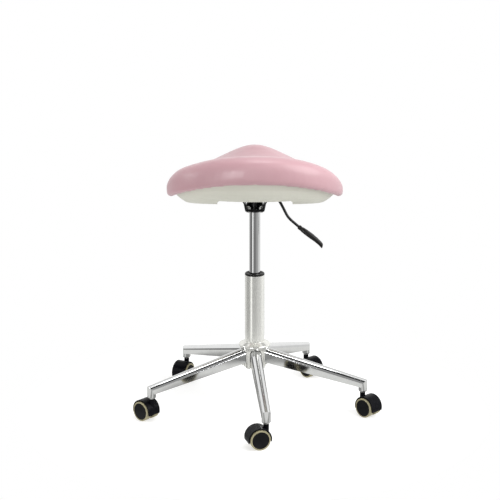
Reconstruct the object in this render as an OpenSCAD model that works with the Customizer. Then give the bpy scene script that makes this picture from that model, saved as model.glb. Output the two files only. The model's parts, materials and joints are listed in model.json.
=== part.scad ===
// Saddle stool on a gas column and a five-arm caster base.
// Millimetres. +Z is up, the origin is on the swivel axis at floor level,
// the front of the saddle (its pommel) points along +Y and the lever along +X.

/* [Seat pad] */
// Width of the pad across the thighs
seat_w = 435; // [410:1:450]
// Length of the pad, front to back
seat_l = 384; // [360:1:400]
// Height of the saddle's low point above the floor
saddle_h = 646; // [640:1:660]
// How far the pommel rises above the low point
pommel_rise = 30; // [15:1:40]
// How far the rear of the saddle sweeps up
rear_rise = 50; // [30:1:60]
// Height of the pad's widest line at the two sides
side_z = 572; // [568:1:578]
// Height of the pad's widest line at the back
rear_z = 640; // [625:1:648]
// Height of the pad's widest line at the front
front_z = 606; // [598:1:616]
// Thickness of the leather cover
cover_t = 3; // [2:0.5:3.5]
// Thickness of the moulded seat board
board_t = 9; // [7:1:10]

/* [Under pan] */
// Height of the channel floor that the mechanism bolts to
pan_floor_z = 569; // [566:1:571]
// Width of the channel between the two side lobes
channel_w = 184; // [180:1:190]
// Wall thickness of the pan
pan_t = 2.5; // [2:0.5:3]

/* [Mechanism] */
// Sheet thickness of the pressed tray
tray_t = 2.5; // [2:0.1:3]
// Height of the underside of the tray's trough
trough_z = 523.5; // [520:0.5:526]
// Length of the trough, front to back
trough_l = 84; // [76:1:96]
// Height of the lever rod's straight inner end
lever_z = 553.5; // [553:0.1:554]
// Diameter of the lever rod
lever_d = 7; // [6:0.5:7.5]

/* [Column] */
// Outer diameter of the fixed column tube
column_d = 50; // [50:1:50]
// Height of the top of the column tube
column_top = 352; // [340:1:360]
// Outer diameter of the gas cylinder
cylinder_d = 28; // [28:1:28]
// Height travel of the gas lift
lift_travel = 120; // [100:5:120]

/* [Base] */
// Distance from the swivel axis to each caster stem
base_r = 282.5; // [270:0.5:300]
// Angle of the first arm from straight back
base_yaw = 5.4; // [0:0.1:10]
// Width of an arm at the hub
arm_root_w = 28; // [26:1:30]
// Width of an arm at its caster end
arm_tip_w = 22; // [22:1:23]
// Height of the top of an arm at the hub
arm_root_z = 161; // [156:1:164]
// Height of the top of an arm at its caster end
arm_tip_z = 97; // [94:1:100]

/* [Casters] */
// Outer diameter of a caster tread
wheel_d = 50; // [48:1:50]
// Distance from the caster stem to its axle
trail = 20; // [18:1:21]
// Width across the two wheels of a caster
caster_w = 45; // [42:1:48]
// Diameter of a caster's stem
stem_d = 11; // [10:0.5:11]

/* [Hidden] */
$fn = 48;

// Heading of each caster's trailing side, seen from above, from +X
caster_heading = [197, 315, 313, 243, 139];
caster_nodes = [for (k = [1:5], part = ["hood", "axle", "wheel_a", "wheel_b", "tread_a", "tread_b"])
    str("caster_", k, "_", part)];

leather_pink = "#e3b6bf";
shell_white = "#dcdccf";
foam_cream = "#ece3c4";
board_brown = "#b08a5c";
steel_black = "#1c1c1e";
plastic_black = "#232326";
zinc = "#a9adb1";
chrome = "#cdd0d3";
tread_olive = "#7d7760";

// Radial play of a fitted shaft, of a bolt in its hole, and of pieces that only sit side by side
fit_gap = 0.05;
hole_gap = 0.4;
side_gap = 0.3;
// How far a cutting shape runs past the face that it cuts
cut = 1;

// ---------- seat pad surfaces ----------

// Points around each ring of a seat surface, and rings across its top
ring_n = 60;
top_n = 13;
// The plan narrows towards the pommel by this share of its width
plan_egg = 0.1;
// Exponent of the rounded shoulder, from the crown to the widest line
shoulder_n = 2.5;
// The padding rolls under the widest line on this radius
roll_in = 10;
roll_side = 14;
roll_rear = 21;
// Last angle of the roll, measured from the widest line
roll_end = 150;
pommel_y = 120;
pommel_len = 60;
pommel_half_w = 80;
thigh_drop = 42;
rear_lift = 72;
crest_y = 150;

function plan_pt(a) = [seat_w/2*cos(a)*(1 - plan_egg*sin(a)), seat_l/2*sin(a)];
function end_share(a) = pow(abs(sin(a)), 1.5);
function edge_z(a) = side_z + ((sin(a) < 0 ? rear_z : front_z) - side_z)*end_share(a);
function roll_down(a) = roll_side + (roll_rear - roll_side)*end_share(a);
function back_share(y) = max(0, min(1, -y/crest_y));
function saddle_z(x, y) =
    saddle_h
    + (y < 0 ? rear_rise*pow(y/crest_y, 2) : 0)
    + pommel_rise*exp(-pow((y - pommel_y)/pommel_len, 2))*exp(-pow(x/pommel_half_w, 2))
    - (thigh_drop - rear_lift*back_share(y))*pow(2*x/seat_w, 2);
function shoulder(r) = pow(max(0, 1 - pow(r, shoulder_n)), 1/shoulder_n);

// A point at share r of the plan, moved inwards by inset and lying at height z
function inset_pt(a, inset, z) =
    let (p = plan_pt(a), k = 1 - inset/norm(p))
    [p.x*k, p.y*k, z];
// Upper surface of the pad, or a surface parallel to it at depth off
function pad_top(r, a, off) =
    let (p = plan_pt(a), k = r*(1 - off/norm(p)), e = edge_z(a))
    [p.x*k, p.y*k, e + (saddle_z(p.x*r, p.y*r) - e - off)*shoulder(r)];
// Rolled underside of the pad's edge
function pad_roll(t, a, off) =
    inset_pt(a, roll_in - (roll_in - off)*cos(t), edge_z(a) - (roll_down(a) - off)*sin(t));

// The seat board follows the saddle: highest inwards at the sides, lowest inwards at the ends
board_inset = 22;
board_mid_z = 594;
// Shares of the plan at which the board has its inner rings
board_shares = [0.25, 0.5, 0.75];
function board_rim_z(a) = edge_z(a) - roll_down(a)/2 + 2;
function board_pt(s, a, lift) =
    let (p = inset_pt(a, board_inset, 0))
    [p.x*s, p.y*s, board_mid_z + (board_rim_z(a) - board_mid_z)*s*s + lift];
// Height of the board's underside over a point of the plan
function board_under(x, y) =
    let (u = 2*x/seat_w, v = 2*y/seat_l, s = sqrt(u*u + v*v)*1.12, a = atan2(v, u))
    board_mid_z + (board_rim_z(a) - board_mid_z)*s*s;

function ring_angles() = [for (i = [0:ring_n - 1]) 360*i/ring_n];
// Radial shares from the crown out to the widest line, closer together at the edge
function top_shares() = [for (i = [1:top_n]) sin(90*i/top_n)];

// Closed surface through rings of equal size between two pole points. From ring turn on, the
// faces' diagonals lean the other way, so that an inner side runs parallel to an outer one.
module ring_solid(first, rings, last, turn = 1000) {
    n = len(rings[0]);
    m = len(rings);
    points = concat([first], [for (r = rings) each r], [last]);
    end = 1 + m*n;
    faces = concat(
        [for (i = [0:n - 1]) [0, 1 + i, 1 + (i + 1)%n]],
        [for (k = [0:m - 2], i = [0:n - 1]) let (a = 1 + k*n + i, b = 1 + k*n + (i + 1)%n)
            each k < turn ? [[a, a + n, b], [b, a + n, b + n]] : [[a, a + n, b + n], [a, b + n, b]]],
        [for (i = [0:n - 1]) [end, 1 + (m - 1)*n + (i + 1)%n, 1 + (m - 1)*n + i]]);
    polyhedron(points, [for (f = faces) [f[2], f[1], f[0]]], convexity = 6);
}

function top_rings(off) = [for (r = top_shares()) [for (a = ring_angles()) pad_top(r, a, off)]];
function roll_rings(off, angles) = [for (t = angles) [for (a = ring_angles()) pad_roll(t, a, off)]];
function reversed(list) = [for (i = [len(list) - 1:-1:0]) list[i]];

roll_steps = [30, 60, 90, 120, roll_end];

module seat_cover() {
    color(leather_pink)
        ring_solid(
            [0, 0, saddle_z(0, 0)],
            concat(top_rings(0), roll_rings(0, roll_steps),
                roll_rings(cover_t, reversed(roll_steps)), reversed(top_rings(cover_t))),
            [0, 0, saddle_z(0, 0) - cover_t],
            turn = top_n + len(roll_steps));
}

module seat_foam() {
    off = cover_t + side_gap;
    // The foam's lip beside the board: inset, and height over the board's rim
    wrap = [[16.5, 1], [20.7, 9.5]];
    roll = [30, 60, 90, 120];
    color(foam_cream)
        ring_solid(
            [0, 0, saddle_z(0, 0) - off],
            concat(top_rings(off), roll_rings(off, roll),
                [for (w = wrap) [for (a = ring_angles())
                    inset_pt(a, w[0], board_rim_z(a) + w[1])]],
                [for (s = concat(0.99, reversed(board_shares))) [for (a = ring_angles())
                    board_pt(s, a, board_t + side_gap)]]),
            [0, 0, board_mid_z + board_t + side_gap],
            turn = top_n + len(roll) + len(wrap));
}

// ---------- seat board and its fasteners ----------

tray_bolt_x = 77;
tray_bolt_y = 50;
bolt_r = 4;
insert_r = 6;
screw_r = 2.1;
// How far the pan screws bite into the board
screw_bite = 6;
pan_screw_xy = [[77, 105], [-77, 105], [77, -105], [-77, -105], [150, 0], [-150, 0]];

module at_tray_bolts() {
    for (sx = [-1, 1], sy = [-1, 1])
        translate([sx*tray_bolt_x, sy*tray_bolt_y, 0]) children();
}

// Height of the underside of the front inserts (side 1) or of the rear ones (side -1)
function insert_z(side) = board_under(tray_bolt_x, side*tray_bolt_y) - 1;

module seat_board() {
    shares = concat(board_shares, 1);
    color(board_brown)
        difference() {
            ring_solid(
                [0, 0, board_mid_z + board_t],
                concat(
                    [for (s = shares) [for (a = ring_angles()) board_pt(s, a, board_t)]],
                    [for (s = reversed(shares)) [for (a = ring_angles()) board_pt(s, a, 0)]]),
                [0, 0, board_mid_z]);
            at_tray_bolts()
                translate([0, 0, board_mid_z - 30]) cylinder(r = insert_r, h = 60);
            for (p = pan_screw_xy)
                translate([p.x, p.y, board_under(p.x, p.y) - 20])
                    cylinder(r = screw_r + fit_gap, h = 20 + screw_bite + 1);
        }
}

module board_t_nuts() {
    color(zinc)
        for (sx = [-1, 1], sy = [-1, 1])
            translate([sx*tray_bolt_x, sy*tray_bolt_y, insert_z(sy)])
                difference() {
                    cylinder(r = insert_r, h = board_t);
                    translate([0, 0, -cut]) cylinder(r = bolt_r, h = board_t + 2*cut);
                }
}

// ---------- under pan ----------

pan_inset = 20;
pan_rim_down = 1;
pan_steps = 8;
pan_foot = [0.8, 0.56];
// Exponent of the pan's flank: 1 is a round bulge and 2 a straight slope
flank_side = 1.8;
flank_end = 1;
pan_mid_z = 557;
pan_lobe_drop = 10;
pillar_r = 9;
screw_pillar_r = 6;

function pan_rim_z(a) = edge_z(a) - roll_down(a)/2 - pan_rim_down;
function pan_low_z(x) = pan_mid_z - pan_lobe_drop*pow(2*x/(pan_foot.x*seat_w), 2);
function pan_ring_pt(t, a, off) =
    let (
        rim = inset_pt(a, pan_inset + off, 0),
        p = plan_pt(a),
        foot = [p.x*pan_foot.x, p.y*pan_foot.y],
        n = flank_side + (flank_end - flank_side)*end_share(a),
        c = pow(cos(90*t), n),
        x = foot.x + (rim.x - foot.x)*c,
        y = foot.y + (rim.y - foot.y)*c,
        low = pan_low_z(foot.x) + off)
    [x, y, pan_rim_z(a) + (low - pan_rim_z(a))*pow(sin(90*t), n)];
function pan_floor_pt(s, a, off) =
    let (p = plan_pt(a), x = p.x*pan_foot.x*s, y = p.y*pan_foot.y*s)
    [x, y, pan_low_z(x) + off];

// The bowl as a full body, or a body parallel to it inside, with its top face raised by lid
module pan_bowl(off, lid) {
    top_z = board_mid_z + lid;
    rim = [for (a = ring_angles()) pan_ring_pt(0, a, off) + [0, 0, lid]];
    ring_solid(
        [0, 0, top_z],
        concat(
            [for (s = [0.35, 0.7]) [for (p = rim) [p.x*s, p.y*s, top_z + (p.z - top_z)*s*s]]],
            [rim],
            [for (i = [0:pan_steps]) [for (a = ring_angles()) pan_ring_pt(i/pan_steps, a, off)]],
            [for (s = [0.75, 0.5, 0.25]) [for (a = ring_angles()) pan_floor_pt(s, a, off)]]),
        [0, 0, pan_low_z(0) + off]);
}

module channel(grow) {
    depth = 120;
    corner = 6;
    translate([0, seat_l, pan_floor_z + grow - depth])
        rotate([90, 0, 0])
            linear_extrude(2*seat_l)
                polygon([
                    [-channel_w/2 - grow, 0], [channel_w/2 + grow, 0],
                    [channel_w/2 + grow, depth - corner], [channel_w/2 + grow - corner, depth],
                    [-channel_w/2 - grow + corner, depth], [-channel_w/2 - grow, depth - corner]]);
}

function in_channel(x) = abs(x) < channel_w/2;
// Heights of a pillar's foot in the pan and of its top under the board
function pillar_foot(x) = (in_channel(x) ? pan_floor_z : pan_low_z(x) + 1) + pan_t/2;
function pillar_top(x, y) = board_under(x, y) - 2;

module pillar(x, y, r) {
    translate([x, y, pillar_foot(x)]) cylinder(r = r, h = pillar_top(x, y) - pillar_foot(x));
}

module under_pan() {
    rim_step = 0.02;
    open_top = 30;
    color(shell_white)
        difference() {
            union() {
                difference() {
                    pan_bowl(0, rim_step);
                    channel(0);
                    difference() {
                        pan_bowl(pan_t, open_top);
                        channel(pan_t);
                    }
                }
                for (sx = [-1, 1], sy = [-1, 1]) pillar(sx*tray_bolt_x, sy*tray_bolt_y, pillar_r);
                for (p = pan_screw_xy) pillar(p.x, p.y, screw_pillar_r);
            }
            at_tray_bolts()
                translate([0, 0, pan_floor_z - 5]) cylinder(r = bolt_r + hole_gap, h = 60);
            for (p = pan_screw_xy)
                translate([p.x, p.y, pillar_foot(p.x) - 10])
                    cylinder(r = screw_r + side_gap, h = 60);
        }
}

// Pan-head screws, with a hex recess, that hold the pan up to the seat board
module pan_screws() {
    head_h = 4;
    head_r = 4.8;
    recess_r = 1;
    recess_h = 1.4;
    // The lobes' faces lie this much under their screw pillars' feet
    lobe_step = 3;
    color(steel_black)
        for (p = pan_screw_xy) {
            under_head = in_channel(p.x) ? pan_floor_z : pillar_foot(p.x) - lobe_step;
            tip = board_under(p.x, p.y) + screw_bite;
            translate([p.x, p.y, 0])
                rotate_extrude()
                    polygon([
                        [recess_r, under_head - head_h], [0.75*head_r, under_head - head_h + 0.3],
                        [head_r, under_head - 0.6*head_h], [head_r, under_head],
                        [screw_r, under_head], [screw_r, tip - 1], [0, tip],
                        [0, under_head - head_h + recess_h],
                        [recess_r, under_head - head_h + recess_h]]);
        }
}

// ---------- mechanism tray ----------

tray_w = 170;
tray_l = 124;
flange_z = pan_floor_z - tray_t;
trough_half = trough_l/2;
// Half widths of the trough outside, from its mouth down to its floor
mouth_half = 43.4;
kink_half = 27.9;
kink_z = 544;
foot_half = 24.5;
foot_z = 527.5;
floor_half = 21;
trough_top = trough_z + tray_t;
wall_slope = (mouth_half - kink_half)/(pan_floor_z - kink_z);
pivot_x = kink_half + (lever_z - kink_z)*wall_slope;

module trough_section() {
    outer = [[mouth_half, pan_floor_z], [kink_half, kink_z], [foot_half, foot_z],
        [foot_half - 1.1, foot_z - 2.8], [floor_half, trough_z]];
    inner = [[floor_half - 1, trough_top], [foot_half - 3, foot_z + 0.4],
        [kink_half - tray_t - 0.2, kink_z + 0.6], [mouth_half - 2.95, pan_floor_z]];
    polygon(concat(
        outer, [for (p = reversed(outer)) [-p.x, p.y]],
        [for (p = reversed(inner)) [-p.x, p.y]], inner));
}

module rounded_plate(w, l, r, h) {
    linear_extrude(h)
        polygon([for (q = [0:3], i = [0:6])
            let (a = 90*q + 15*i, sx = (q == 0 || q == 3) ? 1 : -1, sy = q < 2 ? 1 : -1)
            [sx*(w/2 - r) + r*cos(a), sy*(l/2 - r) + r*sin(a)]]);
}

socket_bolt_x = 15.5;
socket_bolt_y = 29;
socket_bolt_r = 2.9;

module at_socket_bolts() {
    for (sx = [-1, 1], sy = [-1, 1])
        translate([sx*socket_bolt_x, sy*socket_bolt_y, 0]) children();
}

module mechanism_tray() {
    color(steel_black)
        difference() {
            union() {
                difference() {
                    translate([0, 0, flange_z]) rounded_plate(tray_w, tray_l, 10, tray_t);
                    translate([-mouth_half + 2, -trough_half, flange_z - cut])
                        cube([2*mouth_half - 4, trough_l, tray_t + 2*cut]);
                }
                translate([0, trough_half, 0])
                    rotate([90, 0, 0]) linear_extrude(trough_l) trough_section();
            }
            translate([pivot_x - 12, 0, lever_z]) rotate([0, 90, 0])
                cylinder(r = bush_r + fit_gap, h = 30);
            translate([0, 0, trough_z - cut]) cylinder(r = socket_r + fit_gap, h = tray_t + 2*cut);
            at_tray_bolts()
                translate([0, 0, flange_z - cut]) cylinder(r = bolt_r + hole_gap, h = tray_t + 2*cut);
            at_socket_bolts()
                translate([0, 0, trough_z - cut])
                    cylinder(r = socket_bolt_r + side_gap, h = tray_t + 2*cut);
        }
}

// Hexagonal prism with two flats facing along X
module hexagon(across, h) {
    rotate([0, 0, 30]) cylinder(r = across/2/cos(30), h = h, $fn = 6);
}

// A hex bolt that points up, with the underside of its head at z = 0
module hex_bolt(r, across, head_h, length) {
    translate([0, 0, -head_h]) hexagon(across, head_h);
    translate([0, 0, -head_h/2]) cylinder(r = r, h = length + head_h/2);
}

module tray_bolts() {
    across = 13;
    head_h = 5.3;
    color(zinc)
        for (sx = [-1, 1], sy = [-1, 1])
            translate([sx*tray_bolt_x, sy*tray_bolt_y, flange_z])
                hex_bolt(bolt_r - fit_gap, across, head_h, insert_z(sy) + board_t - 1 - flange_z);
}

// ---------- taper socket, held on the trough floor ----------

socket_r = 15.6;
socket_z = 516;
socket_top = 544;
socket_flange_h = 2.5;
cyl_r = cylinder_d/2;
taper_z = 514;
cylinder_top = 545;
taper_top_r = 13.2;
taper_slope = (cyl_r - taper_top_r)/(cylinder_top - taper_z);
function taper_r(z) = cyl_r - (z - taper_z)*taper_slope;

module taper_socket() {
    flange_half_w = floor_half - 1.2;
    flange_half_l = socket_bolt_y + 7;
    color(steel_black)
        difference() {
            union() {
                translate([0, 0, socket_z]) cylinder(r = socket_r, h = socket_top - socket_z);
                translate([-flange_half_w, -flange_half_l, trough_top])
                    cube([2*flange_half_w, 2*flange_half_l, socket_flange_h]);
            }
            translate([0, 0, socket_z - cut])
                cylinder(r1 = taper_r(socket_z - cut) + fit_gap,
                    r2 = taper_r(socket_top + cut) + fit_gap, h = socket_top - socket_z + 2*cut);
            at_socket_bolts()
                translate([0, 0, trough_top - cut])
                    cylinder(r = socket_bolt_r + side_gap, h = socket_flange_h + 2*cut);
        }
}

module socket_bolts() {
    across = 10;
    head_h = 3.6;
    nut_h = 5;
    past_nut = 2;
    nut_z = trough_top + socket_flange_h;
    color(zinc)
        at_socket_bolts() {
            translate([0, 0, trough_z])
                hex_bolt(socket_bolt_r, across, head_h, nut_z + nut_h + past_nut - trough_z);
            translate([0, 0, nut_z]) difference() {
                hexagon(across, nut_h);
                translate([0, 0, -cut]) cylinder(r = socket_bolt_r + fit_gap, h = nut_h + 2*cut);
            }
        }
}

// ---------- height lever ----------

bush_r = 6.4;
bush_half = 4.5;
// Room round the rod in its bush, for the lever's tilt
tilt_room = 0.75;
rod_r = lever_d/2;
rod_bend_x = 45;
// The rod's outer end is straight, inside the grip
rod_tail = [[110, 477.5], [140, 451.5]];
// Two bends of the rod's centre line, each a cubic curve, in the plane of the swivel axis
rod_bend_a = [[rod_bend_x, lever_z], [58, lever_z], [63, 541], [73, 522]];
rod_bend_b = [[80, 508], [86, 496.6], [97.9, 488], rod_tail[0]];
// Grip sections: x, z, half thickness, half width
grip_sections = [[110.5, 477.1, 5, 6], [111.5, 476.2, 5.6, 6.8], [114, 474, 5.6, 6.8],
    [115, 473.2, 4.8, 6.2], [118, 470.6, 5.8, 7.6], [128, 462.2, 7.6, 10.2],
    [140, 452.3, 8.8, 11.6], [150, 444.2, 8.2, 11.6], [160, 436, 6.2, 10.8],
    [169, 428.4, 4.7, 9.8], [172, 425.8, 4.2, 9.2]];
// The rod's inner end carries a flat blade that presses the pin
blade_x = -6;
blade_l = 22;
blade_w = 11;
blade_t = 4;
blade_bottom = lever_z - blade_t/2;

module lever_bush() {
    color(plastic_black)
        translate([pivot_x - bush_half, 0, lever_z]) rotate([0, 90, 0])
            difference() {
                cylinder(r = bush_r, h = 2*bush_half);
                translate([0, 0, -cut]) cylinder(r = rod_r + tilt_room, h = 2*bush_half + 2*cut);
            }
}

module rod_piece(a, b, r) {
    d = b - a;
    translate([a.x, 0, a.y]) rotate([0, atan2(d.x, d.y), 0]) cylinder(r = r, h = norm(d));
}

// A point on the tail's line, before its start by a share of its length
function rod_tail_from(share) = rod_tail[0] - (rod_tail[1] - rod_tail[0])*share;

function bezier(c, t) =
    let (u = 1 - t) u*u*u*c[0] + 3*u*u*t*c[1] + 3*u*t*t*c[2] + t*t*t*c[3];
// An upright ellipse of n points across a path that lies in the XZ plane
function cross_ring(at, dir, half_t, half_w, n) =
    let (d = dir/norm(dir), up = [-d.y, d.x])
    [for (i = [0:n - 1]) let (a = 360*i/n)
        [at.x + up.x*half_t*cos(a), half_w*sin(a), at.y + up.y*half_t*cos(a)]];

module swept_solid(path, half_t, half_w, n) {
    last = len(path) - 1;
    rings = [for (i = [0:last])
        cross_ring(path[i], path[min(last, i + 1)] - path[max(0, i - 1)], half_t[i], half_w[i], n)];
    ring_solid([path[0].x, 0, path[0].y], rings, [path[last].x, 0, path[last].y]);
}

module lever_rod() {
    steps = 9;
    curve = concat(
        [for (i = [0:steps]) bezier(rod_bend_a, i/steps)],
        [for (i = [0:steps]) bezier(rod_bend_b, i/steps)]);
    radii = [for (p = curve) rod_r];
    color(steel_black) {
        rod_piece([blade_x + blade_l - 2, lever_z], [rod_bend_x + 1, lever_z], rod_r);
        swept_solid(curve, radii, radii, 16);
        rod_piece(rod_tail_from(0.02), rod_tail[1], rod_r);
        translate([blade_x, -blade_w/2, blade_bottom]) cube([blade_l, blade_w, blade_t]);
    }
}

module lever_grip() {
    path = [for (g = grip_sections) [g.x, g.y]];
    color(plastic_black)
        difference() {
            swept_solid(path, [for (g = grip_sections) g[2]], [for (g = grip_sections) g[3]], 24);
            rod_piece(rod_tail_from(0.1), rod_tail[1], rod_r + fit_gap);
        }
}

pin_top = blade_bottom - side_gap;
pin_r = 4;
pin_gap = 0.08;
pin_z = 536;
pin_stroke = 6;

module release_pin() {
    color(zinc)
        translate([0, 0, pin_z])
            rotate_extrude()
                polygon(concat([[0, 0], [pin_r, 0]],
                    [for (a = [0:15:90]) [pin_r*cos(a), pin_top - pin_z - pin_r + pin_r*sin(a)]]));
}

// ---------- gas lift ----------

plate_z = 116;
plate_t = 4;
bearing_h = 8;
shoulder_z = plate_z + plate_t + bearing_h + 0.1;
// Room left over the rod's shoulder at the bottom of the travel
stop_gap = 1.9;
cylinder_z = shoulder_z + lift_travel + stop_gap;
plug_h = 14;
rod_main_r = 5;
rod_end_r = 4;
cyl_bore_r = 11.5;

module gas_cylinder() {
    cavity_top = 522;
    color(chrome)
        difference() {
            union() {
                translate([0, 0, cylinder_z]) cylinder(r = cyl_r, h = taper_z - cylinder_z);
                translate([0, 0, taper_z])
                    cylinder(r1 = cyl_r, r2 = taper_top_r, h = cylinder_top - taper_z);
            }
            translate([0, 0, cylinder_z - cut])
                cylinder(r = rod_main_r + fit_gap, h = plug_h + 2*cut);
            translate([0, 0, cylinder_z + plug_h])
                cylinder(r = cyl_bore_r, h = cavity_top - cylinder_z - plug_h);
            translate([0, 0, pin_z - pin_stroke])
                cylinder(r = pin_r + pin_gap, h = cylinder_top - pin_z + pin_stroke + cut);
        }
}

piston_z = cylinder_z + plug_h + 0.2;
piston_h = 12;
rod_foot = 109;
groove_z = 111.9;
groove_h = 1.2;
groove_r = 3.3;

module piston_rod() {
    chamfer = 0.6;
    over_piston = 2;
    color(zinc)
        rotate_extrude()
            polygon([[0, rod_foot], [rod_end_r - chamfer, rod_foot], [rod_end_r, rod_foot + chamfer],
                [rod_end_r, groove_z], [groove_r, groove_z], [groove_r, groove_z + groove_h],
                [rod_end_r, groove_z + groove_h], [rod_end_r, shoulder_z],
                [rod_main_r, shoulder_z], [rod_main_r, piston_z], [rod_end_r, piston_z],
                [rod_end_r, piston_z + piston_h + over_piston],
                [0, piston_z + piston_h + over_piston]]);
}

// A piston with a seal groove round its middle third
module piston() {
    side_r = cyl_bore_r - 0.1;
    seal_r = cyl_bore_r - 1.5;
    color(plastic_black)
        translate([0, 0, piston_z])
            rotate_extrude()
                polygon([[rod_end_r, 0], [side_r, 0], [side_r, piston_h/3], [seal_r, piston_h/3],
                    [seal_r, 2*piston_h/3], [side_r, 2*piston_h/3], [side_r, piston_h],
                    [rod_end_r, piston_h]]);
}

// Spring clip and washer under the column's bottom plate
module rod_clip() {
    clip_in = groove_r + fit_gap;
    clip_out = 7.5;
    clip_t = 1;
    washer_r = 9;
    washer_t = 2.5;
    color(zinc) {
        translate([0, 0, groove_z + 0.1])
            rotate_extrude(angle = 300)
                polygon([[clip_in, 0], [clip_out, 0], [clip_out, clip_t], [clip_in, clip_t]]);
        translate([0, 0, groove_z + groove_h + 0.1]) difference() {
            cylinder(r = washer_r, h = washer_t);
            translate([0, 0, -cut]) cylinder(r = rod_end_r + fit_gap, h = washer_t + 2*cut);
        }
    }
}

module thrust_bearing() {
    ball_r = 1.95;
    race_r = 8.2;
    balls = 10;
    washer_r = 12;
    washer_t = 2;
    color(zinc)
        translate([0, 0, plate_z + plate_t]) {
            for (z = [0, bearing_h - washer_t])
                translate([0, 0, z]) difference() {
                    cylinder(r = washer_r, h = washer_t);
                    translate([0, 0, -cut]) cylinder(r = rod_end_r + 0.1, h = washer_t + 2*cut);
                }
            for (i = [0:balls - 1])
                rotate([0, 0, 360*i/balls]) translate([race_r, 0, bearing_h/2]) sphere(r = ball_r);
        }
}

column_r = column_d/2;
column_wall = 1.5;
column_bore_r = column_r - column_wall;
hub_top = 177;
hub_z = 108;
hub_bore_r = column_r - 0.3;

// The tube's foot is drawn in a little where it stands in the hub
module column_tube() {
    foot_r = hub_bore_r - fit_gap;
    color(chrome)
        difference() {
            union() {
                translate([0, 0, hub_top]) cylinder(r = column_r, h = column_top - hub_top);
                translate([0, 0, plate_z]) cylinder(r = foot_r, h = hub_top - plate_z + 1);
            }
            translate([0, 0, plate_z + plate_t]) cylinder(r = column_bore_r, h = column_top);
            translate([0, 0, plate_z - cut]) cylinder(r = rod_end_r + 0.2, h = plate_t + 2*cut);
        }
}

// Nylon bush that guides the cylinder, with a flange on the tube's rim
module guide_bush() {
    bush_len = 62;
    flange_h = 5;
    rim_w = 5;
    edge = 1.5;
    inner = cyl_r + 0.06;
    outer = column_bore_r - 0.1;
    color(plastic_black)
        translate([0, 0, column_top])
            rotate_extrude()
                polygon([[inner, -bush_len], [outer, -bush_len], [outer, 0], [column_r, 0],
                    [column_r, flange_h - edge], [column_r - edge, flange_h],
                    [column_r - rim_w, flange_h], [column_r - rim_w - 1, flange_h - edge],
                    [inner + 2, flange_h - edge], [inner, flange_h - edge - 1]]);
}

// ---------- base ----------

arm_start = 28.4;
arm_wall = 2;
root_r = arm_root_w/2;
tip_r = arm_tip_w/2;
root_depth = 37;
tip_depth = 22;
arm_tilt = atan2(arm_root_z - arm_tip_z, base_r - arm_start);
arm_len = (base_r - arm_start)/cos(arm_tilt);
socket_tube_r = 10.8;
socket_tube_z = 61;
stem_r = stem_d/2;
stem_bore_r = stem_r + fit_gap;
stem_bore_top = 88;

// Length of arm with a rounded back: half widths r0 and r1, total depths d0 and d1
module arm_form(r0, r1, d0, d1, from, to) {
    block = 100;
    slope = (r1 - r0)/arm_len;
    ra = r0 + slope*from;
    rb = r0 + slope*to;
    sink = (d1 - d0)/arm_len;
    da = d0 - r0 + (sink - slope)*from;
    db = d0 - r0 + (sink - slope)*to;
    translate([from, 0, 0]) rotate([0, 90, 0]) cylinder(r1 = ra, r2 = rb, h = to - from);
    intersection() {
        translate([0, 0, -block]) linear_extrude(block)
            polygon([[from, -ra], [to, -rb], [to, rb], [from, ra]]);
        translate([0, block/2, 0]) rotate([90, 0, 0]) linear_extrude(block)
            polygon([[from, 0.001], [to, 0.001], [to, -db], [from, -da]]);
    }
}

module on_arm() {
    translate([arm_start, 0, arm_root_z - root_r]) rotate([0, arm_tilt, 0]) children();
}

function arm_angle(k) = -90 + base_yaw + 72*(k - 1);

// A hollow arm, open below, that ends in a stem socket
module arm(k) {
    end_gap = 16;
    root_gap = 8;
    bottom_round = 2.5;
    // Blocks that square off the arm's root and carry its form down and out over the socket
    root_block = 40;
    below = 60;
    socket_high = 130;
    color(chrome)
        rotate([0, 0, arm_angle(k)])
            difference() {
                union() {
                    difference() {
                        on_arm() arm_form(root_r, tip_r, root_depth, tip_depth, 0, arm_len);
                        translate([0, -root_block/2, below]) cube([arm_start, root_block, 2*below]);
                    }
                    intersection() {
                        translate([base_r, 0, 0])
                            rotate_extrude()
                                polygon(concat([[0, socket_tube_z]],
                                    [for (a = [-90:15:0]) [
                                        socket_tube_r - bottom_round + bottom_round*cos(a),
                                        socket_tube_z + bottom_round + bottom_round*sin(a)]],
                                    [[socket_tube_r, socket_high], [0, socket_high]]));
                        on_arm() arm_form(root_r, tip_r, root_depth + below, tip_depth + below,
                            arm_len - root_block, arm_len + end_gap);
                    }
                }
                on_arm() arm_form(root_r - arm_wall, tip_r - arm_wall,
                    root_depth - 2*arm_wall, tip_depth - 2*arm_wall, root_gap, arm_len - end_gap);
                translate([base_r, 0, socket_tube_z - cut])
                    cylinder(r = stem_bore_r, h = stem_bore_top - socket_tube_z + cut);
            }
}

module arm_1() arm(1);
module arm_2() arm(2);
module arm_3() arm(3);
module arm_4() arm(4);
module arm_5() arm(5);

hub_body_r = 34;
hub_flange_r = 41;

function arc(cx, cy, r, from, to, n) =
    [for (i = [0:n]) let (a = from + (to - from)*i/n) [cx + r*cos(a), cy + r*sin(a)]];

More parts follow.
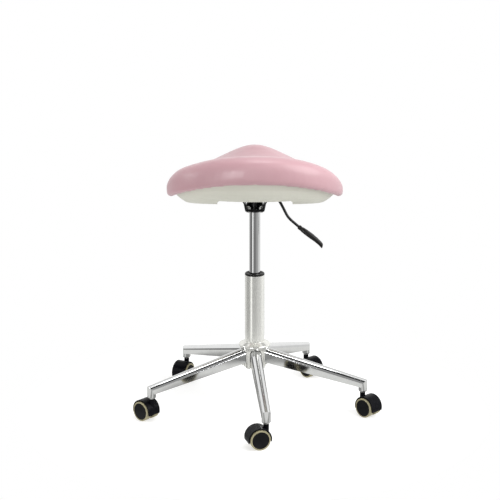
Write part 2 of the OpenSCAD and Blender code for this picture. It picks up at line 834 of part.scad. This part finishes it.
module star_hub() {
    core_r = arm_start - side_gap;
    slot_gap = 1.2;
    foot_round = 3;
    crown_r = 4;
    crown_z = 167;
    neck_r = 8;
    neck_z = 154;
    lip_w = 3;
    color(chrome)
        difference() {
            rotate_extrude()
                polygon(concat(
                    [[hub_bore_r, hub_z + 2]],
                    arc(hub_body_r - foot_round, hub_z + foot_round, foot_round, -90, 0, 4),
                    arc(hub_body_r + neck_r, neck_z, neck_r, 180, 120, 5),
                    arc(hub_flange_r - crown_r, crown_z, crown_r, -10, 75, 6),
                    [[column_r + lip_w, hub_top - 1], [column_r + lip_w - 1, hub_top],
                        [hub_bore_r, hub_top]]));
            for (k = [1:5])
                rotate([0, 0, arm_angle(k)])
                    difference() {
                        union() {
                            on_arm() arm_form(root_r + slot_gap, tip_r + slot_gap,
                                root_depth + slot_gap, tip_depth + slot_gap, -3, 40);
                            translate([0, -root_r - slot_gap, hub_z - 5])
                                cube([2*hub_body_r, 2*(root_r + slot_gap), root_depth]);
                        }
                        cylinder(r = core_r, h = 2*hub_top);
                    }
        }
}

// ---------- casters ----------

wheel_r = wheel_d/2;
axle_r = 3;
axle_half = 19;
hood_in_r = wheel_r + 1.8;
hood_wall = 2.4;
hood_out_r = hood_in_r + hood_wall;
// The wheels stand this far out of the hood on either side
wheel_proud = 3;
hood_half = caster_w/2 - wheel_proud;
web_half = 5.6;
// Heights of the skirt's sharp tips and of its inner edge
hood_tip_z = 15.5;
hood_skirt_z = 21;
hub_boss_r = 8;
boss_r = 6.8;
boss_top = 58.8;
pin_stem_r = 4;
stem_foot = 36;
collar_z = 59;
stem_neck_r = 4.5;
ring_groove_z = 78;
ring_groove_h = 5;

function caster_pos(k) = [base_r*cos(arm_angle(k)), base_r*sin(arm_angle(k)), 0];

module at_caster(k) {
    translate(caster_pos(k)) rotate([0, 0, caster_heading[k - 1]]) children();
}

// Places children with their Z along the axle, at the axle's middle
module on_axle() {
    translate([trail, 0, wheel_r]) rotate([90, 0, 0]) children();
}

module hood(k) {
    lip = 0.8;
    boss_z = wheel_r + 2;
    color(plastic_black)
        at_caster(k)
            difference() {
                union() {
                    intersection() {
                        on_axle() rotate_extrude()
                            polygon([[0, -hood_half], [hood_out_r - lip, -hood_half],
                                [hood_out_r, -hood_half + lip], [hood_out_r, hood_half - lip],
                                [hood_out_r - lip, hood_half], [0, hood_half]]);
                        translate([trail, caster_w, 0])
                            rotate([90, 0, 0]) linear_extrude(2*caster_w)
                                polygon([
                                    [-hood_in_r, hood_skirt_z], [hood_in_r, hood_skirt_z],
                                    [hood_out_r, hood_tip_z], [wheel_d, hood_tip_z],
                                    [wheel_d, 2*wheel_d], [-wheel_d, 2*wheel_d],
                                    [-wheel_d, hood_tip_z], [-hood_out_r, hood_tip_z]]);
                    }
                    translate([0, 0, boss_z]) cylinder(r = boss_r, h = boss_top - boss_z);
                    on_axle() translate([0, 0, -web_half])
                        cylinder(r = hub_boss_r, h = 2*web_half);
                }
                for (side = [-1, 1])
                    on_axle() translate([0, 0, side > 0 ? web_half : -hood_half - cut])
                        cylinder(r = hood_in_r, h = hood_half + cut - web_half);
                on_axle() translate([0, 0, -axle_half]) cylinder(r = axle_r + 0.02, h = 2*axle_half);
                translate([0, 0, stem_foot - 1])
                    cylinder(r = pin_stem_r + fit_gap, h = boss_top + cut - stem_foot + 1);
            }
}

module axle(k) {
    color(zinc)
        at_caster(k) on_axle() translate([0, 0, -axle_half]) cylinder(r = axle_r, h = 2*axle_half);
}

wheel_in = web_half + 0.7;
wheel_out = caster_w/2;
disc_r = 21.3;

// side is 1 for the wheel on the axle's +Z end and -1 for the other
module wheel(k, side) {
    bore_r = axle_r + fit_gap;
    bore_end = axle_half + side_gap;
    edge = 0.7;
    rim_w = 2.2;
    color(plastic_black)
        at_caster(k) on_axle() rotate([side > 0 ? 0 : 180, 0, 0])
            rotate_extrude()
                polygon([[bore_r, wheel_in], [disc_r, wheel_in], [disc_r, wheel_out - edge],
                    [disc_r - edge, wheel_out], [disc_r - rim_w, wheel_out],
                    [disc_r - rim_w - 0.6, wheel_out - 0.5], [0, wheel_out - 0.2],
                    [0, bore_end], [bore_r, bore_end]]);
}

module tread(k, side) {
    round = 1.3;
    from = wheel_in + 0.4;
    to = wheel_out - 0.4;
    color(tread_olive)
        at_caster(k) on_axle() rotate([side > 0 ? 0 : 180, 0, 0])
            rotate_extrude()
                polygon(concat(
                    [[disc_r, from]],
                    arc(wheel_r - round, from + round, round, -90, 0, 3),
                    arc(wheel_r - round, to - round, round, 0, 90, 3),
                    [[disc_r, to]]));
}

module caster_stems() {
    collar_top = socket_tube_z - fit_gap;
    stem_top = 87;
    chamfer = 1.5;
    color(zinc)
        for (k = [1:5])
            translate(caster_pos(k))
                rotate_extrude()
                    polygon([[0, stem_foot], [pin_stem_r, stem_foot], [pin_stem_r, collar_z],
                        [boss_r, collar_z], [boss_r, collar_top],
                        [stem_r, collar_top], [stem_r, ring_groove_z],
                        [stem_neck_r, ring_groove_z], [stem_neck_r, ring_groove_z + ring_groove_h],
                        [stem_r, ring_groove_z + ring_groove_h], [stem_r, stem_top - chamfer],
                        [stem_r - chamfer, stem_top], [0, stem_top]]);
}

// Split spring rings in the stems' grooves
module grip_rings() {
    inner = stem_neck_r + fit_gap;
    outer = stem_bore_r - 0.02;
    ring_h = ring_groove_h - 0.4;
    bevel = 0.4;
    color(steel_black)
        for (k = [1:5])
            translate(caster_pos(k) + [0, 0, ring_groove_z + 0.2])
                rotate_extrude(angle = 330)
                    polygon([[inner, 0], [outer, bevel], [outer, ring_h - bevel], [inner, ring_h]]);
}

seat_cover();
seat_foam();
seat_board();
board_t_nuts();
under_pan();
pan_screws();
mechanism_tray();
tray_bolts();
taper_socket();
socket_bolts();
lever_bush();
lever_rod();
lever_grip();
release_pin();
gas_cylinder();
piston_rod();
piston();
rod_clip();
thrust_bearing();
guide_bush();
column_tube();
star_hub();
arm_1();
arm_2();
arm_3();
arm_4();
arm_5();
caster_stems();
grip_rings();
for (k = [1:5]) {
    hood(k);
    axle(k);
    wheel(k, -1);
    wheel(k, 1);
    tread(k, -1);
    tread(k, 1);
}
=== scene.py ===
"""Looks of the saddle stool, built round its CAD frame. Metres; +Z up, +Y to the pommel, +X to the lever."""

import json
import math

import bmesh
import bpy
import numpy as np
from mathutils import Matrix, Vector


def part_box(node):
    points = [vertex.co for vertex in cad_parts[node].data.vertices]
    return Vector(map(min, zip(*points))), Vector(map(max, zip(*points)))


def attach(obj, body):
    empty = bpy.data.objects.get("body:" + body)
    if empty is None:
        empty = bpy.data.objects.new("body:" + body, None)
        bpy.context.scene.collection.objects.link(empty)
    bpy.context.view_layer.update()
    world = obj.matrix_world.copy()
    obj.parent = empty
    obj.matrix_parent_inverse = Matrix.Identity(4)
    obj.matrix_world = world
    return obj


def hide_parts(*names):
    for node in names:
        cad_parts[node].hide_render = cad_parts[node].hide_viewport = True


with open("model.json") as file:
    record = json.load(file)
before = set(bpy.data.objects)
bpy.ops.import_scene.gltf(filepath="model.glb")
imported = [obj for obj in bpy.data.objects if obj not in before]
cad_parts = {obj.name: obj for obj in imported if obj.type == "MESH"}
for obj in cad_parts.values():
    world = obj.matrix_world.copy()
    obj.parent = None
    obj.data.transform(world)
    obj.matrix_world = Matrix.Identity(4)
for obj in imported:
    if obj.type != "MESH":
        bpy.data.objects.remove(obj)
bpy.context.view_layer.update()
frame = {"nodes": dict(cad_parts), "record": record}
nodes = frame["nodes"]
MM = 0.001
LEGS = range(1, 6)


# ---------- helpers ----------


def scene_object(name, mesh):
    o = bpy.data.objects.new(name, mesh)
    bpy.context.scene.collection.objects.link(o)
    return o


def mesh_object(name, bm):
    """Turns a filled bmesh into an object of the scene, and frees the bmesh."""
    mesh = bpy.data.meshes.new(name)
    bm.to_mesh(mesh)
    bm.free()
    return scene_object(name, mesh)


def shade_smooth(o, deg):
    """Smooth shading up to edges of more than deg degrees."""
    with bpy.context.temp_override(object=o, active_object=o, selected_objects=[o],
                                   selected_editable_objects=[o]):
        bpy.ops.object.shade_smooth_by_angle(angle=math.radians(deg))


def set_stops(ramp, stops, warmth):
    """Fills a colour ramp with grey levels from stops of (where, level); blue gets warmth times the level."""
    elements = ramp.color_ramp.elements
    elements.remove(elements[0])
    elements[0].position = stops[0][0]
    for where, _ in stops[1:]:
        elements.new(where)
    for element, (_, level) in zip(elements, stops):
        element.color = (level, level, level * warmth, 1)


# ---------- finishes ----------


class Finish:
    """A procedural material: one Principled shader and the textures that feed it, in the frame's metres."""

    def __init__(self, name, color, rough, metal=0.0, **sockets):
        self.mat = bpy.data.materials.new(name)
        self.mat.use_nodes = True
        self.tree = self.mat.node_tree
        self.shader = self.tree.nodes["Principled BSDF"]
        self.place = self.add("ShaderNodeTexCoord").outputs["Object"]
        self.normal = None
        self.shader.inputs["Base Color"].default_value = (*color, 1)
        self.shader.inputs["Roughness"].default_value = rough
        self.shader.inputs["Metallic"].default_value = metal
        for socket, value in sockets.items():
            self.shader.inputs[socket.replace("_", " ")].default_value = value

    def add(self, kind, **inputs):
        node = self.tree.nodes.new(kind)
        for name, value in inputs.items():
            socket = node.inputs[name.replace("_", " ")]
            if isinstance(value, bpy.types.NodeSocket):
                self.tree.links.new(value, socket)
            else:
                socket.default_value = value
        return node

    def stretched(self, along, amount):
        """Object coordinates squeezed along one direction, so that a texture draws out along it."""
        scale = [1.0 - abs(a) * (1 - 1 / amount) for a in along]
        return self.add("ShaderNodeMapping", Vector=self.place, Scale=scale).outputs["Vector"]

    def noise(self, size, detail=3.0, place=None):
        """Noise whose features are about size metres across."""
        node = self.add("ShaderNodeTexNoise", Vector=place or self.place, Scale=1 / size, Detail=detail)
        return node.outputs["Fac"]

    def cells(self, size, feature="F1"):
        """Cells about size metres across: the distance from each cell's middle, or to its edge."""
        node = self.add("ShaderNodeTexVoronoi", Vector=self.place, Scale=1 / size)
        node.feature = feature
        return node.outputs["Distance"]

    def spread(self, fac, low, high, start=0.3, end=0.7):
        node = self.add("ShaderNodeMapRange", Value=fac, From_Min=start, From_Max=end,
                        To_Min=low, To_Max=high)
        return node.outputs["Result"]

    def vary_color(self, fac, low, high, start=0.3, end=0.7):
        ramp = self.add("ShaderNodeValToRGB", Fac=fac)
        ramp.color_ramp.elements[0].position = start
        ramp.color_ramp.elements[0].color = (*low, 1)
        ramp.color_ramp.elements[1].position = end
        ramp.color_ramp.elements[1].color = (*high, 1)
        self.tree.links.new(ramp.outputs["Color"], self.shader.inputs["Base Color"])
        return self

    def vary_rough(self, fac, low, high):
        self.tree.links.new(self.spread(fac, low, high), self.shader.inputs["Roughness"])
        return self

    def bump(self, height, depth, strength=1.0):
        """Adds relief of about depth metres to the relief that is there already."""
        node = self.add("ShaderNodeBump", Height=height, Distance=depth, Strength=strength)
        if self.normal:
            self.tree.links.new(self.normal, node.inputs["Normal"])
        self.normal = node.outputs["Normal"]
        self.tree.links.new(self.normal, self.shader.inputs["Normal"])
        return self


def pink_leather():
    f = Finish("pink_leather", (0.535, 0.32, 0.352), 0.46, Coat_Weight=0.45, Coat_Roughness=0.28,
               Sheen_Weight=0.12, Sheen_Roughness=0.5, Specular_IOR_Level=0.25)
    f.vary_color(f.noise(0.05), (0.525, 0.31, 0.342), (0.545, 0.33, 0.362))
    f.vary_rough(f.noise(0.012), 0.42, 0.52)
    f.bump(f.cells(0.0013), 0.00012, 0.5)
    return f.bump(f.noise(0.0006, 2.0), 0.00006, 0.5).mat


def pan_plastic():
    f = Finish("pan_plastic", (0.64, 0.635, 0.555), 0.45)
    f.vary_color(f.noise(0.09), (0.62, 0.615, 0.535), (0.66, 0.655, 0.575))
    f.vary_rough(f.noise(0.02), 0.4, 0.5)
    return f.bump(f.noise(0.0009, 4.0), 0.00008, 0.6).mat


def chrome(name, wave, rough_low, rough_high):
    """Bright plating over a polished face, with wave metres between its soft ripples."""
    f = Finish(name, (0.68, 0.685, 0.69), 0.08, 1.0)
    f.vary_color(f.noise(0.03), (0.66, 0.665, 0.67), (0.70, 0.705, 0.71))
    f.vary_rough(f.noise(0.02, 5.0), rough_low, rough_high)
    return f.bump(f.noise(wave, 1.0), 0.0001, 0.35).mat


def drawn_chrome():
    """Plating on ground tube: faint lines run round it, and it stays bright."""
    f = Finish("drawn_chrome", (0.76, 0.765, 0.77), 0.1, 1.0)
    f.vary_color(f.noise(0.04), (0.73, 0.735, 0.735), (0.79, 0.795, 0.80))
    f.vary_rough(f.noise(0.0015, 3.0, f.stretched((1, 1, 0), 12)), 0.07, 0.13)
    return f.bump(f.noise(0.0004, 2.0, f.stretched((1, 1, 0), 20)), 0.00001, 0.15).mat


def satin_chrome():
    """Plating with a hazy sheen, which stays light where bright chrome mirrors something dark."""
    f = Finish("satin_chrome", (0.80, 0.80, 0.765), 0.16, 0.6)
    f.vary_color(f.noise(0.04), (0.78, 0.78, 0.745), (0.82, 0.82, 0.785))
    f.vary_rough(f.noise(0.0015, 3.0, f.stretched((1, 1, 0), 12)), 0.13, 0.2)
    return f.bump(f.noise(0.0004, 2.0, f.stretched((1, 1, 0), 20)), 0.00001, 0.4).mat


def black_enamel():
    f = Finish("black_enamel", (0.006, 0.006, 0.007), 0.22, Specular_IOR_Level=0.35)
    f.vary_color(f.noise(0.01), (0.004, 0.004, 0.005), (0.008, 0.008, 0.009))
    f.vary_rough(f.noise(0.006), 0.18, 0.3)
    return f.bump(f.noise(0.002, 2.0), 0.00008, 0.5).mat


def black_plastic(name, low, high, rough, shine):
    f = Finish(name, high, rough, Specular_IOR_Level=shine)
    f.vary_color(f.noise(0.015), low, high)
    f.vary_rough(f.noise(0.008), rough - 0.07, rough + 0.07)
    return f.bump(f.noise(0.0007, 3.0), 0.00006, 0.6).mat


def zinc_plate():
    f = Finish("zinc_plate", (0.62, 0.62, 0.60), 0.35, 1.0)
    f.vary_color(f.cells(0.003), (0.5, 0.5, 0.5), (0.68, 0.68, 0.66), 0.1, 0.8)
    f.vary_rough(f.noise(0.002), 0.28, 0.45)
    return f.bump(f.noise(0.0008), 0.00004, 0.5).mat


def tread_rubber():
    f = Finish("tread_rubber", (0.30, 0.27, 0.16), 0.5)
    f.vary_color(f.noise(0.006, 4.0), (0.24, 0.215, 0.125), (0.34, 0.31, 0.19))
    f.vary_rough(f.noise(0.004), 0.42, 0.6)
    return f.bump(f.noise(0.0012, 4.0), 0.0001, 0.7).mat


def foam_finish():
    f = Finish("foam", (0.78, 0.66, 0.42), 0.95)
    f.vary_color(f.noise(0.004), (0.72, 0.6, 0.37), (0.82, 0.71, 0.48))
    return f.bump(f.cells(0.0012), 0.0006, 0.8).mat


def plywood():
    f = Finish("plywood", (0.5, 0.33, 0.17), 0.6)
    f.vary_color(f.noise(0.004, 4.0, f.stretched((1, 0, 0), 14)), (0.40, 0.25, 0.12), (0.58, 0.41, 0.23))
    return f.bump(f.noise(0.0015, 3.0, f.stretched((1, 0, 0), 14)), 0.0001, 0.6).mat


LEATHER = pink_leather()
PAN = pan_plastic()
BRIGHT = chrome("bright_chrome", 0.03, 0.05, 0.12)
DRAWN = drawn_chrome()
ENAMEL = black_enamel()
NYLON = black_plastic("caster_nylon", (0.004, 0.004, 0.0045), (0.007, 0.007, 0.008), 0.4, 0.12)
HOOD = black_plastic("hood_nylon", (0.0035, 0.0035, 0.005), (0.006, 0.006, 0.008), 0.25, 0.06)
MOULDED = black_plastic("moulded_black", (0.006, 0.0055, 0.0055), (0.011, 0.010, 0.0095), 0.42, 0.22)
ZINC = zinc_plate()
TREAD = tread_rubber()
FINISHES = {
    "leather_pink": LEATHER,
    "foam_cream": foam_finish(),
    "board_ply": plywood(),
    "shell_white": PAN,
    "steel_black": ENAMEL,
    "zinc_steel": ZINC,
    "chrome_column": DRAWN,
    "chrome_base": BRIGHT,
    "plastic_black": MOULDED,
    "caster_black": NYLON,
    "tread_olive": TREAD,
}
SATIN = satin_chrome()
OWN_FINISH = {"column_tube": SATIN, "star_hub": SATIN, **{f"caster_{k}_hood": HOOD for k in LEGS}}
# Width of the rounded edges on carried-over CAD nodes, where faces meet at more than EDGE_DEG
ROUNDED = {"star_hub": 0.8 * MM, "taper_socket": 0.4 * MM, "mechanism_tray": 0.5 * MM,
           **{f"arm_{k}": 3 * MM for k in LEGS}, **{f"caster_{k}_hood": 0.5 * MM for k in LEGS}}
EDGE_DEG = 40
NODE_SMOOTH_DEG = 32
SLOT_OF = {s["node"]: s["material_slot"] for s in frame["record"]["subparts"]}


def dress_node(node):
    """Gives a carried-over CAD node its finish and smooth shading up to its edges."""
    o = nodes[node]
    o.data.materials.clear()
    o.data.materials.append(OWN_FINISH.get(node) or FINISHES[SLOT_OF[node]])
    if node in ROUNDED:
        bevel = o.modifiers.new("rounded", "BEVEL")
        bevel.width = ROUNDED[node]
        bevel.segments = 4
        bevel.limit_method = "ANGLE"
        bevel.angle_limit = math.radians(EDGE_DEG)
    shade_smooth(o, NODE_SMOOTH_DEG)


for name in nodes:
    dress_node(name)


# ---------- seat cushion ----------

VOXEL = 5 * MM
SETTLE_STEPS = 4
# How far the pad is taken in before it is blown up
SLACK = 3 * MM
# The least and the most that the blown-up skin stands off the CAD pad, and how far it may slide along it
FULL = 1.4 * MM
PROUD = 2.2 * MM
SLIDE_CAP = 2 * MM
# Skin whose outward normal points down by more than this is held on the pan
HELD_SLOPE = -0.7
# How far the pad's lower edge rolls outwards
ROLL_DOWN = 2 * MM
# Extra fullness of the pad's left and right shoulders, where it peaks and how far it spreads
SHOULDERS = {-1: 7 * MM, 1: 3 * MM}
SHOULDER_X = 190 * MM
SHOULDER_SPREAD = 38 * MM
SIM_FRAMES = 20


def points_of(mesh):
    co = np.zeros(len(mesh.vertices) * 3, np.float32)
    mesh.vertices.foreach_get("co", co)
    return co.reshape(-1, 3).astype(float)


def normals_of(mesh):
    no = np.zeros(len(mesh.vertices) * 3, np.float32)
    mesh.vertices.foreach_get("normal", no)
    return no.reshape(-1, 3).astype(float)


def put_points(mesh, points):
    mesh.vertices.foreach_set("co", points.astype(np.float32).ravel())
    mesh.update()


def apply_all(o):
    """Turns an object's modifiers into its mesh."""
    evaluated = o.evaluated_get(bpy.context.evaluated_depsgraph_get())
    mesh = bpy.data.meshes.new_from_object(evaluated)
    o.modifiers.clear()
    o.data = mesh


def joined_copy(name, *members):
    """One mesh object that holds copies of several CAD nodes' meshes."""
    bm = bmesh.new()
    for member in members:
        bm.from_mesh(nodes[member].data)
    return mesh_object(name, bm)


def blown_up(o, held):
    """Where the points of o come to rest when its skin is cloth under pressure, with some points held."""
    group = o.vertex_groups.new(name="held")
    group.add([int(i) for i in np.nonzero(held)[0]], 1.0, "REPLACE")
    cloth = o.modifiers.new("cloth", "CLOTH")
    settings = cloth.settings
    settings.quality = 6
    settings.mass = 0.4
    settings.tension_stiffness = 25
    settings.compression_stiffness = 25
    settings.bending_stiffness = 30
    settings.use_pressure = True
    settings.uniform_pressure_force = 4
    settings.vertex_group_mass = "held"
    settings.effector_weights.gravity = 0
    scene = bpy.context.scene
    for step in range(1, SIM_FRAMES + 1):
        scene.frame_set(step)
    points = points_of(o.evaluated_get(bpy.context.evaluated_depsgraph_get()).data)
    o.modifiers.clear()
    scene.frame_set(1)
    return points


def make_cushion():
    """Leather over foam as one padded body: taken in a little, then blown up as cloth to the pad's form."""
    cushion = joined_copy("cushion", "seat_cover", "seat_foam")
    remesh = cushion.modifiers.new("remesh", "REMESH")
    remesh.mode = "VOXEL"
    remesh.voxel_size = VOXEL
    cushion.modifiers.new("settle", "SMOOTH").iterations = SETTLE_STEPS
    apply_all(cushion)
    form = points_of(cushion.data)
    out = normals_of(cushion.data)
    held = out[:, 2] < HELD_SLOPE
    put_points(cushion.data, form - out * SLACK * ~held[:, None])
    move = blown_up(cushion, held) - form
    rise = (move * out).sum(1, keepdims=True)
    slide = move - rise * out
    slide *= np.minimum(1, SLIDE_CAP / np.maximum(np.linalg.norm(slide, axis=1, keepdims=True), 1e-9))
    form = form + np.clip(rise, FULL, PROUD) * out + slide
    form = form + ROLL_DOWN * np.clip(-2 * out[:, 2:], 0, 1) * out
    for side, fullness in SHOULDERS.items():
        near = np.exp(-((side * form[:, :1] - SHOULDER_X) / SHOULDER_SPREAD) ** 2)
        form = form + fullness * near * np.clip(1.5 * out[:, 2:], 0, 1) * out
    put_points(cushion.data, form)
    cushion.modifiers.new("settle", "SMOOTH").iterations = SETTLE_STEPS
    fine = cushion.modifiers.new("fine", "SUBSURF")
    fine.levels = fine.render_levels = 1
    apply_all(cushion)
    cushion.data.shade_smooth()
    cushion.data.materials.clear()
    cushion.data.materials.append(LEATHER)
    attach(cushion, "seat")
    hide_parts("seat_cover", "seat_foam")


make_cushion()


# ---------- lever grip ----------

# Sections of the paddle: share of its length, lift, half thickness and half width in mm, and slant of the cut
GRIP = [(0.0, 0, 4.4, 6, 0), (0.02, 0, 5.6, 6.8, 0), (0.08, 0, 5.6, 6.8, 0), (0.1, 0, 5.0, 6.4, 0),
        (0.15, 0.2, 5.9, 8, 0), (0.3, 0.8, 6.6, 10.4, 0), (0.5, 1.6, 6.6, 11.4, 0), (0.7, 2, 5.8, 11.4, 0),
        (0.86, 1.4, 5.2, 10.8, 0.1), (0.95, 0.4, 5.4, 10.4, 0.4), (0.985, 0, 5.3, 10.2, 0.5),
        (1.0, 0, 4.5, 9.4, 0.5)]
GRIP_SQUARENESS = 3.0
GRIP_POINTS = 32
GRIP_SMOOTH_DEG = 40
# The sections whose thickness sets how far the paddle's ends lie inside the CAD grip's box
COLLAR = GRIP[1]
TIP = GRIP[-2]


def squared(value):
    """A sine or cosine bent towards the outline of a rounded rectangle."""
    return math.copysign(abs(value) ** (2 / GRIP_SQUARENESS), value)


def make_grip():
    """A flat paddle with a collar and a slanted end, over the CAD grip's length."""
    low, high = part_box("lever_grip")
    along = Vector((high.x - low.x, 0, low.z - high.z)).normalized()
    up = Vector((-along.z, 0, along.x))
    start = Vector((low.x + COLLAR[2] * MM * up.x, 0, high.z - COLLAR[2] * MM * up.z))
    end = Vector((high.x - TIP[2] * MM * up.x, 0, low.z + TIP[2] * MM * up.z))
    bm = bmesh.new()
    rings = []
    for share, lift, half_thick, half_wide, slant in GRIP:
        middle = start.lerp(end, share) + lift * MM * up
        ring = []
        for i in range(GRIP_POINTS):
            turn = 2 * math.pi * i / GRIP_POINTS
            rise = half_thick * MM * squared(math.cos(turn))
            side = half_wide * MM * squared(math.sin(turn))
            ring.append(bm.verts.new(middle + rise * up - slant * rise * along + Vector((0, side, 0))))
        rings.append(ring)
    for ring, following in zip(rings, rings[1:]):
        for i in range(GRIP_POINTS):
            j = (i + 1) % GRIP_POINTS
            bm.faces.new([ring[i], ring[j], following[j], following[i]])
    bm.faces.new(rings[0][::-1])
    bm.faces.new(rings[-1])
    bmesh.ops.recalc_face_normals(bm, faces=bm.faces)
    grip = mesh_object("grip_paddle", bm)
    grip.data.materials.append(MOULDED)
    shade_smooth(grip, GRIP_SMOOTH_DEG)
    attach(grip, "lever")
    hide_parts("lever_grip")


make_grip()


# ---------- stage, light and camera ----------

CAMERA_AT = Vector((-0.012, -3.158, 1.1887))
CAMERA_PITCH = math.radians(13.75)
LENS = 92.35
CLIP_END = 100

FLOOR_R = 0.6
# Grey levels of a painted reflection, by distance from the stool's middle: the floor glows with them only for
# glossy rays, so chrome mirrors them
FLOOR_PAINTED_REFLECTION_RINGS = [(0.0, 0.3), (0.2, 0.35), (0.27, 0.45), (0.31, 0.95), (0.35, 0.9), (0.38, 0.4), (0.44, 0.4),
               (0.47, 0.9), (0.6, 0.9)]


def make_floor():
    """A round pale floor, small enough for the column to mirror what is round it; for glossy rays it glows in
    grey rings instead, a painted reflection in the chrome.
    """
    bm = bmesh.new()
    bmesh.ops.create_circle(bm, cap_ends=True, segments=96, radius=FLOOR_R)
    floor = mesh_object("floor", bm)
    f = Finish("floor", (0.6, 0.6, 0.6), 0.8, Emission_Color=(1, 1, 1, 1), Emission_Strength=0.55)
    f.vary_rough(f.noise(0.1), 0.7, 0.85)
    reach = f.add("ShaderNodeVectorMath", Vector=f.place)
    reach.operation = "LENGTH"
    rings = f.add("ShaderNodeValToRGB", Fac=reach.outputs["Value"])
    set_stops(rings, FLOOR_PAINTED_REFLECTION_RINGS, 0.97)
    # painted reflection: grey rings that glow only for glossy rays, seen in the chrome and not by the camera
    painted_reflection = f.add("ShaderNodeEmission", Color=rings.outputs["Color"])
    seen = f.add("ShaderNodeLightPath").outputs["Is Glossy Ray"]
    both = f.add("ShaderNodeMixShader", Fac=seen)
    f.tree.links.new(f.shader.outputs[0], both.inputs[1])
    f.tree.links.new(painted_reflection.outputs[0], both.inputs[2])
    f.tree.links.new(both.outputs[0], f.tree.nodes["Material Output"].inputs["Surface"])
    floor.data.materials.append(f.mat)


STUDIO_LEVEL = 0.8
# Light levels at and below eye height, by degrees from straight at the camera, to the right
SIDES = [(-180, 1.0), (-120, 0.75), (-100, 0.22), (-66, 0.22), (-52, 0.5), (-46, 1.7), (-34, 1.7),
         (-28, 0.3), (10, 0.26), (40, 0.5), (75, 0.62), (95, 1.1), (140, 1.0), (180, 1.0)]
# Light levels over eye height on the camera's side and behind the object, by degrees of elevation
FRONT_WALL = [(0, 0.5), (30, 0.45), (36, 0.05), (68, 0.05), (75, 1.4), (90, 1.4)]
REAR_WALL = [(0, 1.4), (40, 1.4), (44, 0.3), (52, 0.3), (58, 1.5), (90, 1.5)]


def make_world():
    """Soft studio: bright banks and darker gaps round the object, and plain white for the camera."""
    world = bpy.data.worlds.new("studio")
    bpy.context.scene.world = world
    world.use_nodes = True
    tree = world.node_tree
    tree.nodes.clear()

    def add(kind, **inputs):
        node = tree.nodes.new(kind)
        for name, value in inputs.items():
            numbered = name[0] == "i" and name[1:].isdigit()
            socket = node.inputs[int(name[1:]) if numbered else name]
            if isinstance(value, bpy.types.NodeSocket):
                tree.links.new(value, socket)
            else:
                socket.default_value = value
        return node

    def ramp(fac, stops):
        node = add("ShaderNodeValToRGB", i0=fac)
        set_stops(node, stops, 0.99)
        return node.outputs["Color"]

    def blend(fac, low, high):
        node = add("ShaderNodeMix")
        node.data_type = "RGBA"
        for socket, value in zip([node.inputs[0], node.inputs[6], node.inputs[7]], [fac, low, high]):
            tree.links.new(value, socket)
        return node.outputs[2]

    def at_turn(deg):
        """Where a turn round the object lies on its ramp."""
        return 0.5 + deg / 360

    def at_rise(deg):
        """Where an elevation lies on its ramp."""
        return 0.5 + 0.5 * math.sin(math.radians(deg))

    direction = add("ShaderNodeTexCoord").outputs["Generated"]
    xyz = add("ShaderNodeSeparateXYZ", i0=direction)
    back = add("ShaderNodeMath", i0=xyz.outputs["Y"], i1=-1.0)
    back.operation = "MULTIPLY"
    turn = add("ShaderNodeMath", i0=xyz.outputs["X"], i1=back.outputs[0])
    turn.operation = "ARCTAN2"
    share = add("ShaderNodeMapRange", i0=turn.outputs[0], i1=-math.pi, i2=math.pi)
    sides = ramp(share.outputs[0], [(at_turn(deg), level) for deg, level in SIDES])
    height = add("ShaderNodeMapRange", i0=xyz.outputs["Z"], i1=-1.0, i2=1.0).outputs[0]
    front_wall, rear_wall = (ramp(height, [(at_rise(deg), level) for deg, level in stops])
                             for stops in (FRONT_WALL, REAR_WALL))
    depth = add("ShaderNodeMapRange", i0=xyz.outputs["Y"], i1=-0.15, i2=0.15).outputs[0]
    lift = add("ShaderNodeMapRange", i0=xyz.outputs["Z"], i1=0.0, i2=0.1).outputs[0]
    around = blend(lift, sides, blend(depth, front_wall, rear_wall))
    studio = add("ShaderNodeBackground", Color=around, Strength=STUDIO_LEVEL)
    plain = add("ShaderNodeBackground", Color=(1, 1, 1, 1), Strength=1.0)
    seen = add("ShaderNodeLightPath").outputs["Is Camera Ray"]
    both = add("ShaderNodeMixShader", i0=seen, i1=studio.outputs[0], i2=plain.outputs[0])
    out = add("ShaderNodeOutputWorld")
    tree.links.new(both.outputs[0], out.inputs["Surface"])


# Where each lamp stands, its size and its watts; all of them aim at the pad
LAMPS = {"key": ((2.0, -0.9, 1.75), 2.1, 56), "fill": ((-0.95, -2.5, 0.6), 0.7, 19),
         "top": ((0.2, -0.5, 2.2), 0.7, 9), "side": ((-2.2, -0.5, 0.8), 0.9, 10)}


def area_light(name, at, aim, size, watts):
    light = bpy.data.lights.new(name, "AREA")
    light.shape = "DISK"
    light.size = size
    light.energy = watts
    lamp = bpy.data.objects.new(name, light)
    lamp.location = at
    lamp.rotation_euler = (Vector(aim) - Vector(at)).to_track_quat("-Z", "Y").to_euler()
    bpy.context.scene.collection.objects.link(lamp)


def make_camera():
    camera = bpy.data.objects.new("camera", bpy.data.cameras.new("camera"))
    camera.data.lens = LENS
    camera.location = CAMERA_AT
    camera.rotation_euler = (math.pi / 2 - CAMERA_PITCH, 0, 0)
    camera.data.clip_end = CLIP_END
    bpy.context.scene.collection.objects.link(camera)
    bpy.context.scene.camera = camera


make_floor()
make_world()
seat_middle = sum(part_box("seat_cover"), Vector()) / 2
for lamp_name, (at, size, watts) in LAMPS.items():
    area_light(lamp_name, at, seat_middle, size, watts)
make_camera()
bpy.context.scene.view_settings.view_transform = "Standard"
